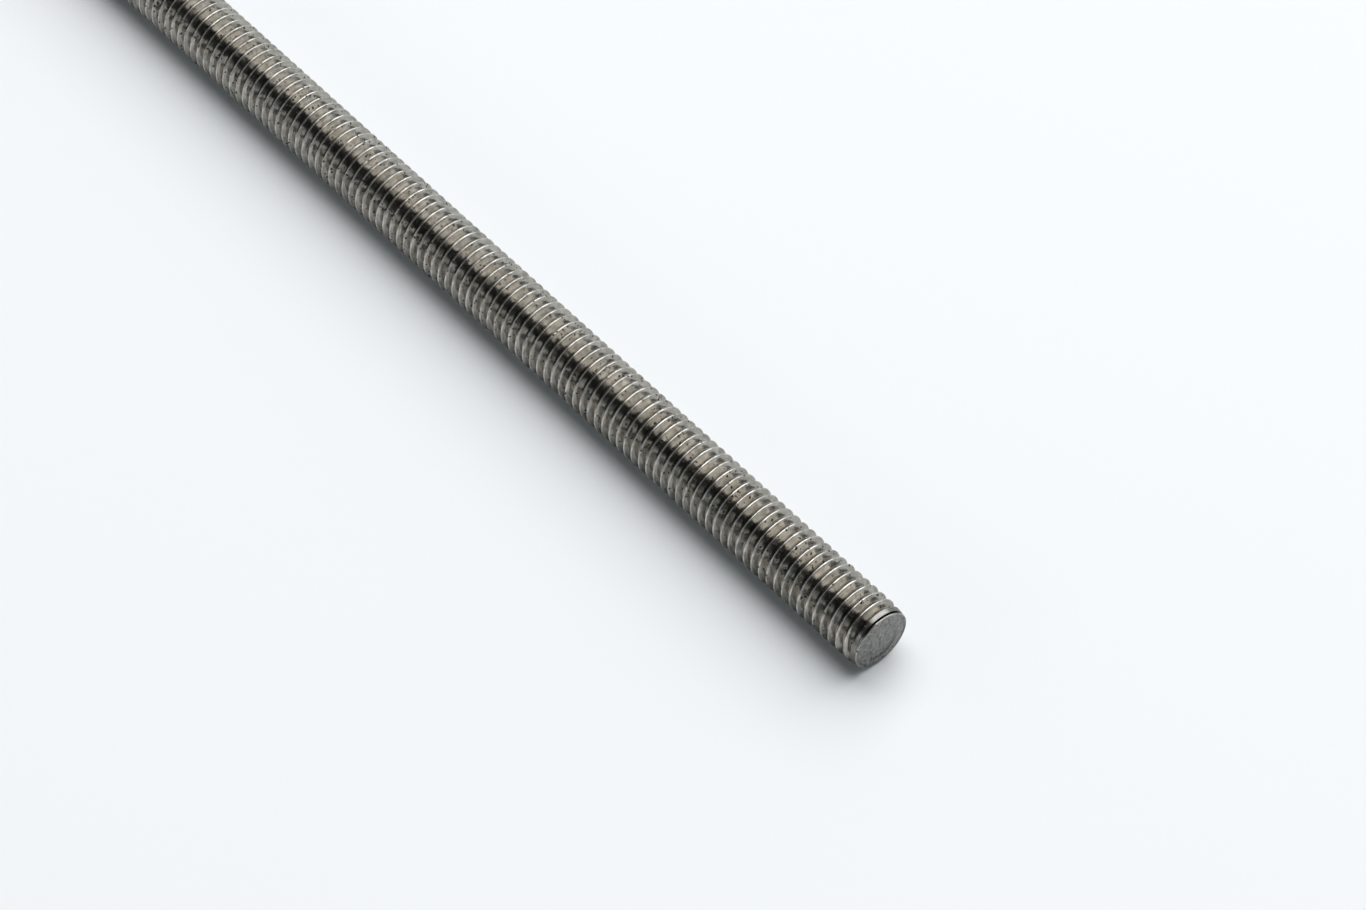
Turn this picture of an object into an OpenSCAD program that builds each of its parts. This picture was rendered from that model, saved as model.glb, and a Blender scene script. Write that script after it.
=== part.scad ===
// Fully threaded rod: one steel bar with a metric thread along its whole length.
// The rod lies along X, with its middle at the origin and its axis on the X axis.
// Each turn of the thread is one ridge round the bar, with the true section and pitch.

/* [Rod] */
// Length of the rod, from end face to end face
rod_length = 250; // [20:1:1000]
// Length along the axis of the chamfer at each end
chamfer_length = 1.9; // [0.2:0.05:3]
// Depth of that chamfer below the crests, at the end face
chamfer_depth = 0.27; // [0.05:0.01:0.6]

/* [Thread] */
// Diameter over the crests: an 8 mm thread, in the middle of its tolerance
major_diameter = 7.87; // [6:0.01:12]
// Pitch, from one crest to the next
pitch = 1.25; // [0.75:0.05:1.75]

/* [Hidden] */
// Form of a metric thread: flanks at 60 degrees, with flat crests and roots
flank_angle = 60;
sharp_height = pitch * sqrt(3) / 2;
thread_depth = sharp_height * 17 / 24;
crest_width = pitch / 8;
ridge_width = crest_width + 2 * thread_depth * tan(flank_angle / 2);

major_radius = major_diameter / 2;
root_radius = major_radius - thread_depth;
face_radius = major_radius - chamfer_depth;

// One ridge stands at the middle, and the last ones reach past the ends, where the blank cuts them
ridges_each_side = ceil(rod_length / 2 / pitch) + 1;
ridges_reach = ridges_each_side * pitch + ridge_width / 2;

// The blank's end cones run on past the crests, to this radius
blank_radius = major_radius + chamfer_depth;
cone_length = 2 * chamfer_length;

round_facets = 96;
steel_colour = [0.60, 0.58, 0.54];

// Half section of one ridge at the axial place y, as [radius, axial place] points
function ridge_points(y) = [
    [root_radius, y - ridge_width / 2],
    [major_radius, y - crest_width / 2],
    [major_radius, y + crest_width / 2],
    [root_radius, y + ridge_width / 2],
];

// Half section of the thread, longer than the rod
module thread_section() {
    polygon(concat(
        [[0, -ridges_reach]],
        [for (k = [-ridges_each_side : ridges_each_side]) each ridge_points(k * pitch)],
        [[0, ridges_reach]]
    ));
}

// Half section of the blank: the rod's length, with a cone at each end
module blank_section() {
    end = rod_length / 2;
    polygon([
        [0, -end],
        [face_radius, -end],
        [blank_radius, cone_length - end],
        [blank_radius, end - cone_length],
        [face_radius, end],
        [0, end],
    ]);
}

module threaded_rod() {
    color(steel_colour)
        rotate([0, 90, 0])
            rotate_extrude($fn = round_facets)
                intersection() {
                    thread_section();
                    blank_section();
                }
}

threaded_rod();
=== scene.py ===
"""Threaded rod: a rolled right-hand thread with cut ends, on a plain pale floor."""

import math

import bmesh
import bpy
from bpy.props import FloatProperty, FloatVectorProperty, IntProperty, PointerProperty
from mathutils import Matrix, Vector, noise


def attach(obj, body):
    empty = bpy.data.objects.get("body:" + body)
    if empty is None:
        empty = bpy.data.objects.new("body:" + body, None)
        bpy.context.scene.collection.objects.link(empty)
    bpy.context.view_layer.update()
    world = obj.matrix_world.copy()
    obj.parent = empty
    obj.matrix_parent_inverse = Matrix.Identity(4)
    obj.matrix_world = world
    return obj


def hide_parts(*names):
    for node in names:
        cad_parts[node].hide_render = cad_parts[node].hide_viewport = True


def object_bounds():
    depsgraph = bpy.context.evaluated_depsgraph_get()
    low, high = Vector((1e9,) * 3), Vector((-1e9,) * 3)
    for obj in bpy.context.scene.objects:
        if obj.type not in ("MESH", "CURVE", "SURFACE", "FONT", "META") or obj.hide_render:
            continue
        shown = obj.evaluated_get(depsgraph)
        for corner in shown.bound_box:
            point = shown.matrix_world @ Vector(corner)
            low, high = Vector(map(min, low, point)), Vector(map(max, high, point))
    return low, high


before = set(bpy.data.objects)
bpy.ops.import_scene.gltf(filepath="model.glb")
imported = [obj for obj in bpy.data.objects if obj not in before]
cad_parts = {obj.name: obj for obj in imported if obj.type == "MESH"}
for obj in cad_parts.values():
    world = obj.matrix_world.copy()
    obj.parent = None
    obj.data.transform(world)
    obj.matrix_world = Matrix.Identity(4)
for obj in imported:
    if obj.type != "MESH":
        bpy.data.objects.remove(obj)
cad_low, cad_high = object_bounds()

bl_info = {
    "name": "Threaded rod",
    "version": (1, 0, 0),
    "blender": (4, 5, 0),
    "location": "View3D > Sidebar > Rod",
    "description": "Builds a rolled threaded rod with cut ends, and a plain stage for its picture",
    "category": "Object",
}

FULL_TURN = 2 * math.pi
MM = 0.001

# The rod's own axis, and the angle round it where the thread's mesh starts, at the floor side
ROD_AXIS = (1, 0, 0)
START_ANGLE = -math.pi / 2

# Narrow strip at both edges of a flank, which keeps its shading flat
FLANK_MARGIN = 0.04 * MM

# The slit behind an end face is deep on one side of the rod and fades out on the other
SLIT_OFFSET = (0.0, -0.25 * MM, -0.05 * MM)
LIP_WOBBLE = 0.05 * MM

# Tint of the steel where it is seen at a glancing angle, the painted shade of the slits, and the dark
# of pits
EDGE_TINT = (0.72, 0.71, 0.69, 1.0)
SLIT_PAINTED_SHADE = (0.02, 0.02, 0.018, 1.0)
THREAD_PIT_DARK = (0.025, 0.023, 0.021, 1.0)
END_PIT_DARK = (0.02, 0.02, 0.019, 1.0)

# Material slots on the rod while it is being cut
THREAD_SLOT, END_SLOT, LIP_SLOT = 0, 1, 2

# The bake map: cells for the turns of the thread below, the two ends and their lands above
MAP_COLUMNS = 6
MAP_ROWS = 34
MAP_THREAD_TOP = 0.80
END_MAP_SIZE = 0.19
END_MAP_MIDDLE = (0.11, 0.90)
END_MAP_STEP = 0.21
LAND_MAP_LEFT, LAND_MAP_WIDTH = 0.45, 0.52
LAND_MAP_LOW, LAND_MAP_STEP, LAND_MAP_HEIGHT = 0.81, 0.10, 0.08
LAND_ZONE = 1.3 * MM
LAND_LENGTH = 2.1 * MM

# The soft panel in shares of its height: reach to both sides of its pivot, depth, place of the pivot
PANEL_FAR, PANEL_NEAR, PANEL_DEPTH = 0.35, 1.35, 2.38
PANEL_PIVOT = (-0.55, -0.18)
ROOM_TINT = (0.88, 0.96, 1.0, 1.0)


class RodSettings(bpy.types.PropertyGroup):
    """Sizes and colours of the rod"""

    length: FloatProperty(
        name="Length", description="From end face to end face",
        default=cad_high.x - cad_low.x, min=0.02, unit='LENGTH')
    diameter: FloatProperty(
        name="Diameter", description="Diameter over the crests",
        default=cad_high.z - cad_low.z, min=0.002, unit='LENGTH')
    pitch: FloatProperty(
        name="Pitch", description="From one crest to the next",
        default=1.25 * MM, min=0.0002, precision=5, unit='LENGTH')
    crest_radius: FloatProperty(
        name="Crest rounding", description="Radius of the crest's two edges",
        default=0.05 * MM, min=0.0, precision=5, unit='LENGTH')
    chamfer_length: FloatProperty(
        name="Chamfer length", description="Length along the axis of the chamfer at each end",
        default=1.9 * MM, min=0.0001, precision=5, unit='LENGTH')
    chamfer_depth: FloatProperty(
        name="Chamfer depth", description="Depth of the chamfer at the end face",
        default=0.27 * MM, min=0.00005, precision=5, unit='LENGTH')
    rim_radius: FloatProperty(
        name="Rim rounding", description="Radius of the edge round each end face",
        default=0.08 * MM, min=0.00001, precision=5, unit='LENGTH')
    thread_phase: FloatProperty(
        name="Thread start", description="Share of a pitch that the thread is moved along the rod",
        default=-0.13)
    facets: IntProperty(
        name="Facets", description="Faces in one turn of the thread", default=42, min=12, max=96)
    steel: FloatVectorProperty(
        name="Steel", description="Colour of the rolled flanks", subtype='COLOR',
        default=(0.366, 0.351, 0.322), min=0.0, max=1.0)
    warm_steel: FloatVectorProperty(
        name="Warm steel", description="Colour of the warmer patches", subtype='COLOR',
        default=(0.390, 0.357, 0.311), min=0.0, max=1.0)
    crest_steel: FloatVectorProperty(
        name="Crest steel", description="Colour of the rubbed crests", subtype='COLOR',
        default=(0.52, 0.506, 0.474), min=0.0, max=1.0)
    land_steel: FloatVectorProperty(
        name="Land steel", description="Colour of the smeared band beside each end face",
        subtype='COLOR', default=(0.205, 0.201, 0.190), min=0.0, max=1.0)
    # Painted shade in the thread's roots: the colour that the deepest part of each groove is darkened
    # to
    root_shade_steel: FloatVectorProperty(
        name="Root steel", description="Colour of the dull roots", subtype='COLOR',
        default=(0.10, 0.093, 0.082), min=0.0, max=1.0)
    end_steel: FloatVectorProperty(
        name="End steel", description="Colour of the cut end faces", subtype='COLOR',
        default=(0.22, 0.22, 0.209), min=0.0, max=1.0)


class StageSettings(bpy.types.PropertyGroup):
    """Floor, light and camera"""

    floor_colour: FloatVectorProperty(
        name="Floor", description="Colour of the pale floor", subtype='COLOR',
        default=(0.90, 0.92, 0.935), min=0.0, max=1.0)
    floor_size: FloatProperty(
        name="Floor size", description="Side of the square floor", default=8.0, unit='LENGTH')
    panel_height: FloatProperty(
        name="Panel height", description="Height of the soft panel over the floor",
        default=2.4, unit='LENGTH')
    panel_turn: FloatProperty(
        name="Panel turn", description="Turn of the soft panel about a point on its front edge",
        default=math.radians(15), subtype='ANGLE')
    panel_level: FloatProperty(
        name="Panel level", description="Brightness of the soft panel, where 1 is white",
        default=2.75, min=0.0)
    lens: FloatProperty(
        name="Lens", description="Focal length on a sensor 36 mm wide",
        default=130.306, min=1.0, subtype='DISTANCE_CAMERA')
    azimuth: FloatProperty(
        name="Azimuth", description="Direction that the camera stands in",
        default=math.radians(50.221), subtype='ANGLE')
    elevation: FloatProperty(
        name="Elevation", description="Height of the camera over the floor, as an angle",
        default=math.radians(52.196), subtype='ANGLE')
    roll: FloatProperty(
        name="Roll", description="Turn of the camera about its own view",
        default=math.radians(1.306), subtype='ANGLE')
    distance: FloatProperty(
        name="Distance", description="From the camera to the point that it looks at",
        default=544.87 * MM, unit='LENGTH')
    aim: FloatVectorProperty(
        name="Aim", description="Point in the middle of the picture",
        default=(cad_high.x - 33.08 * MM, 0.54 * MM, 0.0), subtype='TRANSLATION', precision=5)


class Wire:
    """One output of a shader node, on which sums add Math nodes"""

    def __init__(self, sheet, socket):
        self.sheet = sheet
        self.socket = socket

    def _sum(self, operation, first, second):
        return self.sheet.node('ShaderNodeMath', {"operation": operation}, {0: first, 1: second})

    def __add__(self, other):
        return self._sum('ADD', self, other)

    def __radd__(self, other):
        return self._sum('ADD', other, self)

    def __sub__(self, other):
        return self._sum('SUBTRACT', self, other)

    def __rsub__(self, other):
        return self._sum('SUBTRACT', other, self)

    def __mul__(self, other):
        return self._sum('MULTIPLY', self, other)

    def __rmul__(self, other):
        return self._sum('MULTIPLY', other, self)

    def __truediv__(self, other):
        return self._sum('DIVIDE', self, other)

    def __abs__(self):
        return self.sheet.node('ShaderNodeMath', {"operation": 'ABSOLUTE'}, {0: self})


class Sheet:
    """The node tree of one material or world, filled node by node"""

    def __init__(self, owner):
        owner.use_nodes = True
        self.tree = owner.node_tree
        self.tree.nodes.clear()

    def node(self, kind, settings=None, values=None, output=0):
        """A new node with its settings and the values or links of its inputs, as one of its outputs"""
        made = self.tree.nodes.new(kind)
        for name, value in (settings or {}).items():
            setattr(made, name, value)
        for name, value in (values or {}).items():
            if isinstance(value, Wire):
                self.tree.links.new(value.socket, made.inputs[name])
            else:
                made.inputs[name].default_value = value
        return Wire(self, made.outputs[output]) if made.outputs else made

    def between(self, value, low, high, at_low=0.0, at_high=1.0):
        """A smooth step from at_low to at_high while value goes from low to high"""
        return self.node(
            'ShaderNodeMapRange', {"interpolation_type": 'SMOOTHSTEP', "clamp": True},
            {"Value": value, "From Min": low, "From Max": high, "To Min": at_low, "To Max": at_high})

    def blend(self, share, first, second):
        """First colour where share is 0, second where it is 1"""
        return self.node(
            'ShaderNodeMix', {"data_type": 'RGBA', "clamp_factor": True},
            {"Factor": share, 6: first, 7: second}, output=2)

    def parts(self, vector):
        """The three parts of a vector or colour"""
        made = self.node('ShaderNodeSeparateXYZ', values={0: vector}).socket.node
        return [Wire(self, socket) for socket in made.outputs]

    def length(self, first, second):
        """Length of the line whose two parts are given"""
        return self.node(
            'ShaderNodeMath', {"operation": 'SQRT'}, {0: first * first + second * second})

    def noise(self, place, scale, detail, roughness=0.5):
        """Noise that is the same in all directions"""
        return self.node(
            'ShaderNodeTexNoise', {"noise_dimensions": '3D'},
            {"Vector": place, "Scale": scale, "Detail": detail, "Roughness": roughness})

    def drawn_noise(self, place, scale, across, detail, roughness=0.5):
        """Noise drawn out into lines: slow over the surface, fast with the value across"""
        slow = self.node(
            'ShaderNodeVectorMath', {"operation": 'MULTIPLY'}, {0: place, 1: (scale, scale, scale)})
        return self.node(
            'ShaderNodeTexNoise', {"noise_dimensions": '4D'},
            {"Vector": slow, "W": across, "Scale": 1.0, "Detail": detail, "Roughness": roughness})

    def cells(self, place, scale):
        """Distance to the middle of the nearest cell, and two values that each cell has of its own"""
        distance = self.node(
            'ShaderNodeTexVoronoi', {"voronoi_dimensions": '3D', "feature": 'F1'},
            {"Vector": place, "Scale": scale}, output="Distance")
        first, second, _ = self.parts(Wire(self, distance.socket.node.outputs["Color"]))
        return distance, first, second


def rgba(colour):
    return (*colour, 1.0)


def shade(colour, factor):
    """A colour made lighter or darker"""
    return rgba([factor * part for part in colour])


def thread_sizes(rod):
    """Radii and half widths of the thread's section, for a metric thread"""
    crest = rod.diameter / 2
    root = crest - rod.pitch * math.sqrt(3) / 2 * 17 / 24
    return crest, root, rod.pitch / 16


def on_section(along, radius):
    """A point of a half section, at the angle where turning starts"""
    return Vector((along, radius * math.cos(START_ANGLE), radius * math.sin(START_ANGLE)))


def add_outline(bm, points):
    """A line of vertices and edges through points of a half section"""
    verts = [bm.verts.new(on_section(along, radius)) for along, radius in points]
    edges = [bm.edges.new(pair) for pair in zip(verts, verts[1:])]
    return verts + edges


def ridge_outline(rod, middle):
    """One ridge from root to root, as along and radius, with its middle at the given place"""
    crest, root, half_flat = thread_sizes(rod)
    slope = math.radians(30)
    edge = rod.crest_radius
    edge_at = half_flat - edge * math.tan(slope)
    root_round = 0.144 * rod.pitch
    flank_top = Vector((edge_at + edge * math.cos(slope), crest - edge + edge * math.sin(slope)))
    flank_foot = Vector((rod.pitch / 2 - root_round * math.cos(slope),
                         root + root_round - root_round * math.sin(slope)))
    margin = (flank_foot - flank_top).normalized() * FLANK_MARGIN
    side = [
        (edge_at, crest),
        tuple(flank_top),
        tuple(flank_top + margin),
        tuple(flank_foot - margin),
        tuple(flank_foot),
        (rod.pitch / 2, root),
    ]
    far_side = [(middle - along, radius) for along, radius in reversed(side)]
    return far_side + [(middle + along, radius) for along, radius in side]


def close_with_cone(bm, edges, along):
    """Close an open end of the thread with a fan of faces to a point on the axis"""
    grown = bmesh.ops.extrude_edge_only(bm, edges=edges)
    tip = [item for item in grown["geom"] if isinstance(item, bmesh.types.BMVert)]
    bmesh.ops.pointmerge(bm, verts=tip, merge_co=(along, 0, 0))


def make_thread(rod):
    """The helix, a little longer than the rod and closed at both ends"""
    bm = bmesh.new()
    turns = math.ceil(rod.length / rod.pitch) + 3
    share = START_ANGLE / FULL_TURN - rod.thread_phase
    first = (share - math.floor(share) - turns // 2 - 1) * rod.pitch
    outline = ridge_outline(rod, first)
    step = rod.pitch / rod.facets
    bmesh.ops.spin(
        bm, geom=add_outline(bm, outline), cent=(0, 0, 0), axis=ROD_AXIS, dvec=(step, 0, 0),
        angle=FULL_TURN, steps=rod.facets, use_merge=False)
    bmesh.ops.spin(
        bm, geom=bm.verts[:] + bm.edges[:] + bm.faces[:], cent=(0, 0, 0), axis=ROD_AXIS,
        dvec=(rod.pitch, 0, 0), angle=0.0, steps=turns - 1, use_duplicate=True)
    bmesh.ops.remove_doubles(bm, verts=bm.verts, dist=0.002 * MM)
    low = first - rod.pitch / 2
    high = first + (turns + 0.5) * rod.pitch
    open_edges = [edge for edge in bm.edges if edge.is_boundary]
    near_low = [edge for edge in open_edges if edge.verts[0].co.x < 0]
    near_high = [edge for edge in open_edges if edge.verts[0].co.x > 0]
    close_with_cone(bm, near_low, low)
    close_with_cone(bm, near_high, high)
    bmesh.ops.recalc_face_normals(bm, faces=bm.faces)
    return bm


def turn_round(bm, rod, points):
    """A closed solid turned round the axis from a half section that starts and ends on it"""
    bmesh.ops.spin(
        bm, geom=add_outline(bm, points), cent=(0, 0, 0), axis=ROD_AXIS,
        angle=FULL_TURN, steps=rod.facets, use_merge=True)
    bmesh.ops.remove_doubles(bm, verts=bm.verts, dist=0.001 * MM)
    bmesh.ops.recalc_face_normals(bm, faces=bm.faces)


def make_blank(rod):
    """The bar that cuts the thread to length: flat ends, rounded rims and chamfers"""
    bm = bmesh.new()
    crest = rod.diameter / 2
    end = rod.length / 2
    face = crest - rod.chamfer_depth
    half = [(end, 0.0), (end, face - rod.rim_radius)]
    for degrees in (30, 60, 90):
        angle = math.radians(degrees)
        half.append((end - rod.rim_radius + rod.rim_radius * math.cos(angle),
                     face - rod.rim_radius + rod.rim_radius * math.sin(angle)))
    half.append((end - 2 * rod.chamfer_length, crest + rod.chamfer_depth))
    turn_round(bm, rod, half + [(-along, radius) for along, radius in reversed(half)])
    for face in bm.faces:
        face.material_index = END_SLOT if abs(face.normal.x) > 0.99 else THREAD_SLOT
    return bm


def make_lips(rod):
    """The metal smeared over the last groove at each end, with a slit that is left of it"""
    bm = bmesh.new()
    crest, root, _ = thread_sizes(rod)
    end = rod.length / 2
    top = crest + 0.01 * MM
    slit_floor = crest - 0.49 * MM
    outline = [
        (1.35 * MM, 0.0),
        (1.25 * MM, root - 0.17 * MM),
        (0.70 * MM, top),
        (0.46 * MM, top),
        (0.40 * MM, slit_floor),
        (0.22 * MM, slit_floor),
        (0.16 * MM, top),
        (-0.20 * MM, top),
        (-0.20 * MM, 0.0),
    ]
    for side in (-1, 1):
        turn_round(bm, rod, [(side * (end - back), radius) for back, radius in outline])
    floor_verts = [vert for vert in bm.verts if abs(vert.co.yz.length - slit_floor) < 0.01 * MM]
    bmesh.ops.translate(bm, verts=floor_verts, vec=SLIT_OFFSET)
    for vert in bm.verts:
        if vert.co.yz.length > root:
            vert.co.x += LIP_WOBBLE * noise.noise(vert.co * 700)
    for face in bm.faces:
        face.material_index = LIP_SLOT
    return bm


def solid_object(name, bm, materials):
    """A new object in the scene from a bmesh, which is then freed"""
    mesh = bpy.data.meshes.new(name)
    for material in materials:
        mesh.materials.append(material)
    bm.to_mesh(mesh)
    bm.free()
    made = bpy.data.objects.new(name, mesh)
    bpy.context.scene.collection.objects.link(made)
    return made


def cut(piece, tools):
    """Apply Boolean steps to a piece and take its tools away"""
    for operation, tool in tools:
        step = piece.modifiers.new(operation.lower(), 'BOOLEAN')
        step.operation = operation
        step.solver = 'MANIFOLD'
        step.material_mode = 'INDEX'
        step.object = tool
    bpy.context.view_layer.update()
    shown = piece.evaluated_get(bpy.context.evaluated_depsgraph_get())
    finished = bpy.data.meshes.new_from_object(shown)
    rough = piece.data
    piece.modifiers.clear()
    piece.data = finished
    bpy.data.meshes.remove(rough)
    finished.name = piece.name
    for _, tool in tools:
        mesh = tool.data
        bpy.data.objects.remove(tool)
        bpy.data.meshes.remove(mesh)


def add_bake_map(bm, rod):
    """Lay the turns of the thread out in cells, and the two end faces and lands above them"""
    layer = bm.loops.layers.uv.new("OFBake")
    end = rod.length / 2
    end_scale = END_MAP_SIZE / rod.diameter
    cell_wide = 1 / MAP_COLUMNS
    cell_high = MAP_THREAD_TOP / MAP_ROWS
    lowest = -math.ceil(rod.length / 2 / rod.pitch) - 1
    for face in bm.faces:
        middle = face.calc_center_median()
        side = 0 if middle.x < 0 else 1
        if face.material_index == END_SLOT:
            for loop in face.loops:
                spot = loop.vert.co
                loop[layer].uv = (
                    END_MAP_MIDDLE[0] + END_MAP_STEP * side + spot.y * end_scale,
                    END_MAP_MIDDLE[1] + spot.z * end_scale)
            continue
        angle = (math.atan2(middle.z, middle.y) - START_ANGLE) % FULL_TURN
        turn = round(middle.x / rod.pitch - (angle + START_ANGLE) / FULL_TURN + rod.thread_phase)
        for loop in face.loops:
            spot = loop.vert.co
            own = math.atan2(spot.z, spot.y) - START_ANGLE
            own += FULL_TURN * round((angle - own) / FULL_TURN)
            round_share = own / FULL_TURN
            if abs(middle.x) > end - LAND_ZONE:
                across = (abs(spot.x) - end + LAND_LENGTH) / LAND_LENGTH
                loop[layer].uv = (
                    LAND_MAP_LEFT + LAND_MAP_WIDTH * round_share,
                    LAND_MAP_LOW + LAND_MAP_STEP * side + LAND_MAP_HEIGHT * across)
                continue
            phase = spot.x / rod.pitch - (own + START_ANGLE) / FULL_TURN + rod.thread_phase
            across = phase - turn + 0.5
            cell = turn - lowest
            loop[layer].uv = (
                (cell % MAP_COLUMNS + 0.01 + 0.98 * round_share) * cell_wide,
                (cell // MAP_COLUMNS + 0.05 + 0.90 * across) * cell_high)


def finish_rod(piece, rod):
    """Clean the cut mesh, lay out its bake map and set its shading"""
    bm = bmesh.new()
    bm.from_mesh(piece.data)
    bmesh.ops.remove_doubles(bm, verts=bm.verts, dist=0.0005 * MM)
    bmesh.ops.dissolve_degenerate(bm, edges=bm.edges, dist=0.0005 * MM)
    bmesh.ops.recalc_face_normals(bm, faces=bm.faces)
    add_bake_map(bm, rod)
    for face in bm.faces:
        face.smooth = True
        if face.material_index == LIP_SLOT:
            face.material_index = THREAD_SLOT
    bm.to_mesh(piece.data)
    bm.free()
    piece.data.materials.pop(index=LIP_SLOT)
    piece.data.set_sharp_from_angle(angle=math.radians(48))


def thread_steel(rod):
    """Rolled steel: streaks along the thread, rubbed crests, dull roots darkened with painted shade,
    small pits
    """
    material = bpy.data.materials.new("rolled_thread_steel")
    sheet = Sheet(material)
    crest_radius, root_radius, _ = thread_sizes(rod)
    place = sheet.node('ShaderNodeTexCoord', output="Object")
    along, level, height = sheet.parts(place)
    angle = sheet.node('ShaderNodeMath', {"operation": 'ARCTAN2'}, {0: height, 1: level})
    phase = along / rod.pitch - angle / FULL_TURN + rod.thread_phase
    across = sheet.node('ShaderNodeMath', {"operation": 'FRACT'}, {0: phase + 0.5}) - 0.5
    depth = (crest_radius - sheet.length(level, height)) / (crest_radius - root_radius)
    end = rod.length / 2
    reach = abs(along)

    streaks = sheet.drawn_noise(place, 450.0, across * 16.0, 4.0, 0.65)
    grain = sheet.noise(place, 7000.0, 2.0, 0.6)
    drift = sheet.noise(place, 260.0, 3.0, 0.55)
    blotch = sheet.noise(place, 1100.0, 3.0, 0.6)
    waves = sheet.noise(place, 620.0, 1.0, 0.45)
    cells, cell_pick, cell_size = sheet.cells(place, 2100.0)
    pits = (sheet.between(cells + grain * 0.55 - cell_size * 0.18, 0.37, 0.49, 1.0, 0.0)
            * sheet.between(cell_pick + drift * 2.0, 1.60, 1.66))

    crest = sheet.between(depth, 0.03, 0.09, 1.0, 0.0)
    # Painted shade: mask of the deepest part of each groove
    root = sheet.between(depth, 0.86, 1.0)
    seam = (sheet.between(abs(across - 0.012), 0.004, 0.014, 1.0, 0.0)
            * sheet.between(drift, 0.42, 0.6) * crest)
    land = (sheet.between(reach, end - 1.3 * MM, end - 0.9 * MM)
            * sheet.between(depth, 0.35, 0.6, 1.0, 0.0))
    # Painted shade: the slit behind each end face is painted near black
    slit = (sheet.between(reach, end - 0.55 * MM, end - 0.48 * MM)
            * sheet.between(depth, 0.40, 0.56))
    # A rubbed edge round each end face, painted brighter as a highlight line
    rim = sheet.between(reach + grain * 0.04 * MM, end - 0.09 * MM, end - 0.03 * MM)

    streaked = sheet.between(streaks * 0.55 + blotch * 0.45, 0.36, 0.64)
    flank = sheet.blend(streaked, shade(rod.steel, 0.62), shade(rod.steel, 1.26))
    flank = sheet.blend(sheet.between(drift, 0.35, 0.65) * 0.35, flank, rgba(rod.warm_steel))
    # Painted shade darkens the roots
    colour = sheet.blend(root * 0.75, flank, rgba(rod.root_shade_steel))
    crest_tone = sheet.blend(
        sheet.between(blotch, 0.35, 0.65), shade(rod.crest_steel, 0.66), shade(rod.crest_steel, 1.20))
    colour = sheet.blend(crest * (1.0 - seam * 0.7), colour, crest_tone)
    land_tone = sheet.blend(streaked, shade(rod.land_steel, 0.70), shade(rod.land_steel, 1.35))
    colour = sheet.blend(land, colour, land_tone)
    # Painted shade in the slit
    colour = sheet.blend(slit, colour, SLIT_PAINTED_SHADE)
    # Rubbed edge and painted highlight line at the rim
    colour = sheet.blend(rim * 0.8, colour, crest_tone)
    colour = sheet.blend(pits * 0.9, colour, THREAD_PIT_DARK)

    roughness = (0.10 + 0.08 * grain + 0.09 * sheet.between(streaks, 0.35, 0.75)
                 + 0.12 * root + 0.25 * pits + 0.13 * crest + 0.12 * land + 0.2 * slit)
    relief = waves * 9.0 + streaks * 0.5 + grain * 0.4 + blotch * 0.8 - pits * 1.2
    normal = sheet.node(
        'ShaderNodeBump', values={"Height": relief, "Strength": 0.55, "Distance": 0.02 * MM})
    surface = sheet.node(
        'ShaderNodeBsdfPrincipled',
        values={"Base Color": colour, "Metallic": 1.0, "Roughness": roughness, "Normal": normal,
                "Specular Tint": EDGE_TINT})
    sheet.node('ShaderNodeOutputMaterial', values={"Surface": surface})
    return material


def end_steel(rod):
    """The cut end: dull and mottled, with fine arcs and lines of the cut and a patch of pits"""
    material = bpy.data.materials.new("cut_end_steel")
    sheet = Sheet(material)
    face_radius = rod.diameter / 2 - rod.chamfer_depth
    place = sheet.node('ShaderNodeTexCoord', output="Object")
    _, level, height = sheet.parts(place)
    radius = sheet.length(level, height)
    mottle = sheet.noise(place, 2400.0, 5.0, 0.70)
    turned = sheet.node(
        'ShaderNodeMapping', {"vector_type": 'POINT'},
        {"Vector": place, "Rotation": (math.radians(35), 0, 0), "Scale": (1, 14, 1)})
    lines = sheet.noise(turned, 700.0, 4.0, 0.65)
    arcs = sheet.drawn_noise(place, 170.0, radius * 3000.0, 2.0)
    cells, cell_size, _ = sheet.cells(place, 2100.0)
    grit = sheet.noise(place, 7000.0, 2.0, 0.6)
    low_side = sheet.between((level * 0.44 - height * 0.90) / face_radius + mottle, 0.75, 1.25)
    pitted = sheet.between((level * -0.26 - height * 0.97) / face_radius + mottle, 0.75, 1.15)
    pits = sheet.between(cells + grit * 0.6 - cell_size * 0.25, 0.40, 0.54, 1.0, 0.0) * pitted
    strokes = sheet.between(arcs, 0.51, 0.60) * (0.25 + 0.75 * low_side)
    rim = sheet.between(radius / face_radius + mottle * 0.25, 0.98, 1.12)

    colour = sheet.blend(
        sheet.between(mottle, 0.36, 0.64), shade(rod.end_steel, 0.52), shade(rod.end_steel, 1.45))
    colour = sheet.blend(sheet.between(lines, 0.54, 0.66) * 0.6, colour, shade(rod.end_steel, 1.90))
    colour = sheet.blend(strokes * 0.85, colour, shade(rod.end_steel, 0.28))
    colour = sheet.blend(rim * low_side * 0.7, colour, shade(rod.end_steel, 0.35))
    colour = sheet.blend(pits * 0.9, colour, END_PIT_DARK)
    roughness = 0.40 + 0.18 * mottle + 0.12 * pits
    relief = mottle * 1.0 + lines * 0.5 + arcs * 0.4 - pits * 1.2
    normal = sheet.node(
        'ShaderNodeBump', values={"Height": relief, "Strength": 0.6, "Distance": 0.05 * MM})
    surface = sheet.node(
        'ShaderNodeBsdfPrincipled',
        values={"Base Color": colour, "Metallic": 0.9, "Roughness": roughness, "Normal": normal})
    sheet.node('ShaderNodeOutputMaterial', values={"Surface": surface})
    return material


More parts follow.
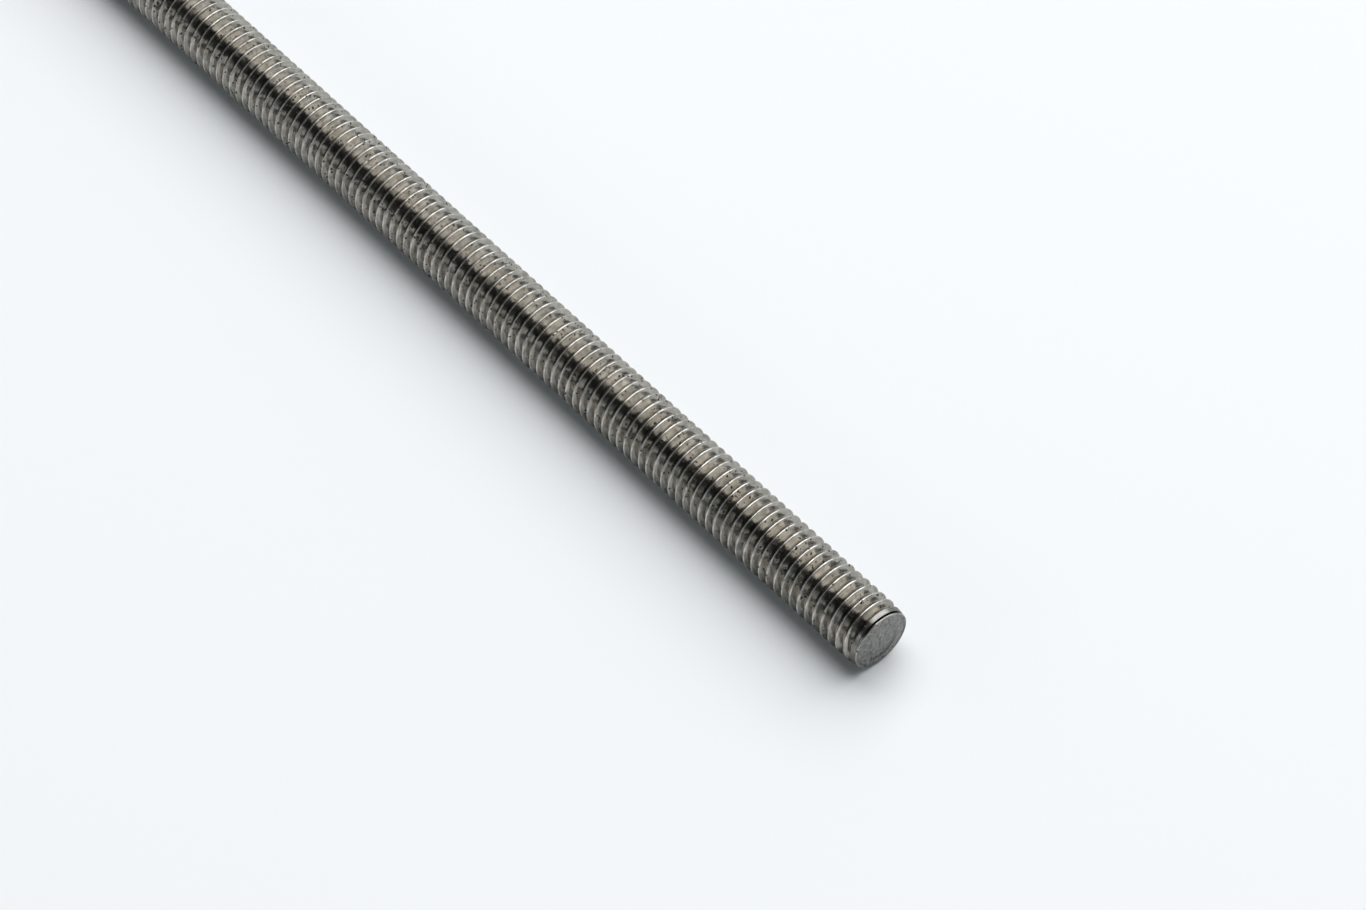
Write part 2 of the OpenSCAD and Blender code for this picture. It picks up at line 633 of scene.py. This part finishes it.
def pale_floor(stage):
    """Matt pale floor with a faint, wide change of tone"""
    material = bpy.data.materials.new("pale_floor")
    sheet = Sheet(material)
    place = sheet.node('ShaderNodeTexCoord', output="Object")
    tone = sheet.noise(place, 6.0, 2.0)
    colour = sheet.blend(tone, rgba(stage.floor_colour), shade(stage.floor_colour, 0.99))
    surface = sheet.node(
        'ShaderNodeBsdfPrincipled',
        values={"Base Color": colour, "Roughness": 0.9, "Specular IOR Level": 0.0})
    sheet.node('ShaderNodeOutputMaterial', values={"Surface": surface})
    return material


class ROD_OT_rolled_rod(bpy.types.Operator):
    """Roll the thread, cut it to length and dress it as bare steel"""

    bl_idname = "rod.rolled_rod"
    bl_label = "Rolled rod"

    def execute(self, context):
        rod = context.scene.rod_settings
        steel = thread_steel(rod)
        materials = [steel, end_steel(rod), steel]
        piece = solid_object("rolled_rod", make_thread(rod), materials)
        lips = solid_object("lips", make_lips(rod), materials)
        blank = solid_object("blank", make_blank(rod), materials)
        cut(piece, [('UNION', lips), ('INTERSECT', blank)])
        if not piece.data.polygons:
            raise RuntimeError("the rod came out empty after it was cut to length")
        finish_rod(piece, rod)
        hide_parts("threaded_rod")
        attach(piece, "root")
        return {'FINISHED'}


class ROD_OT_stage(bpy.types.Operator):
    """Lay the floor, hang the soft panel, fill the room with light and place the camera"""

    bl_idname = "rod.stage"
    bl_label = "Stage"

    def execute(self, context):
        scene = context.scene
        stage = scene.stage_settings
        self.lay_floor(stage)
        self.hang_panel(scene, stage)
        self.fill_room(scene)
        self.place_camera(scene, stage)
        scene.view_settings.view_transform = 'Standard'
        return {'FINISHED'}

    def lay_floor(self, stage):
        bm = bmesh.new()
        bmesh.ops.create_grid(bm, x_segments=1, y_segments=1, size=stage.floor_size / 2)
        bmesh.ops.translate(bm, verts=bm.verts, vec=(0, 0, cad_low.z))
        floor = solid_object("floor", bm, [pale_floor(stage)])

    def hang_panel(self, scene, stage):
        height = stage.panel_height
        lamp = bpy.data.lights.new("soft_panel", 'AREA')
        lamp.shape = 'RECTANGLE'
        lamp.size = (PANEL_FAR + PANEL_NEAR) * height
        lamp.size_y = PANEL_DEPTH * height
        lamp.energy = math.pi * lamp.size * lamp.size_y * stage.panel_level
        panel = bpy.data.objects.new("soft_panel", lamp)
        pivot = (stage.aim[0] + PANEL_PIVOT[0] * height, PANEL_PIVOT[1] * height, cad_low.z + height)
        middle = ((PANEL_NEAR - PANEL_FAR) / 2 * height, PANEL_DEPTH / 2 * height, 0)
        turn = Matrix.Rotation(stage.panel_turn, 4, 'Z')
        panel.matrix_world = Matrix.Translation(pivot) @ turn @ Matrix.Translation(middle)
        scene.collection.objects.link(panel)

    def fill_room(self, scene):
        """A dim band low round the room, brighter in front on the far side, and a window behind"""
        world = bpy.data.worlds.new("room")
        sheet = Sheet(world)
        direction = sheet.node('ShaderNodeTexCoord', output="Generated")
        along, side, rise = sheet.parts(direction)
        band = (sheet.between(rise, 0.18, 0.30, 0.15, 1.0)
                - sheet.between(rise, 0.41, 0.51, 0.0, 0.98))
        card = (sheet.between(along, -0.48, -0.36, 0.55, 1.0)
                * sheet.between(along, -0.25, -0.05, 1.0, 0.0)
                * sheet.between(side, -0.2, 0.0, 1.0, 0.0))
        horizon = band * (0.22 + 1.85 * card)
        window = sheet.between(side, 0.30, 0.55) * sheet.between(rise, 0.02, 0.10)
        level = horizon + 0.75 * window * sheet.between(rise, 0.45, 0.60, 1.0, 0.0)
        light = sheet.node(
            'ShaderNodeBackground', values={"Color": ROOM_TINT, "Strength": level})
        sheet.node('ShaderNodeOutputWorld', values={"Surface": light})
        scene.world = world

    def place_camera(self, scene, stage):
        back = Vector((math.sin(stage.azimuth) * math.cos(stage.elevation),
                       -math.cos(stage.azimuth) * math.cos(stage.elevation),
                       math.sin(stage.elevation)))
        level = Vector((math.cos(stage.azimuth), math.sin(stage.azimuth), 0))
        right = Matrix.Rotation(stage.roll, 3, -back) @ level
        up = back.cross(right)
        lens = bpy.data.cameras.new("camera")
        lens.sensor_width = 36.0
        lens.lens = stage.lens
        lens.clip_start = 0.01
        lens.clip_end = 50.0
        camera = bpy.data.objects.new("camera", lens)
        turn = Matrix((right, up, back)).transposed().to_4x4()
        camera.matrix_world = Matrix.Translation(Vector(stage.aim) + back * stage.distance) @ turn
        scene.collection.objects.link(camera)
        scene.camera = camera


class ROD_PT_panel(bpy.types.Panel):
    """Sizes, colours and steps of the rod and its stage"""

    bl_idname = "ROD_PT_panel"
    bl_label = "Threaded rod"
    bl_space_type = 'VIEW_3D'
    bl_region_type = 'UI'
    bl_category = "Rod"

    def draw(self, context):
        for settings, operator in (
                (context.scene.rod_settings, ROD_OT_rolled_rod),
                (context.scene.stage_settings, ROD_OT_stage)):
            box = self.layout.box()
            for name in settings.__annotations__:
                box.prop(settings, name)
            box.operator(operator.bl_idname)


CLASSES = (RodSettings, StageSettings, ROD_OT_rolled_rod, ROD_OT_stage, ROD_PT_panel)


def register():
    for cls in CLASSES:
        bpy.utils.register_class(cls)
    bpy.types.Scene.rod_settings = PointerProperty(type=RodSettings)
    bpy.types.Scene.stage_settings = PointerProperty(type=StageSettings)


def unregister():
    del bpy.types.Scene.stage_settings
    del bpy.types.Scene.rod_settings
    for cls in reversed(CLASSES):
        bpy.utils.unregister_class(cls)


def main():
    register()
    bpy.ops.rod.rolled_rod()
    bpy.ops.rod.stage()


if __name__ == "__main__":
    main()
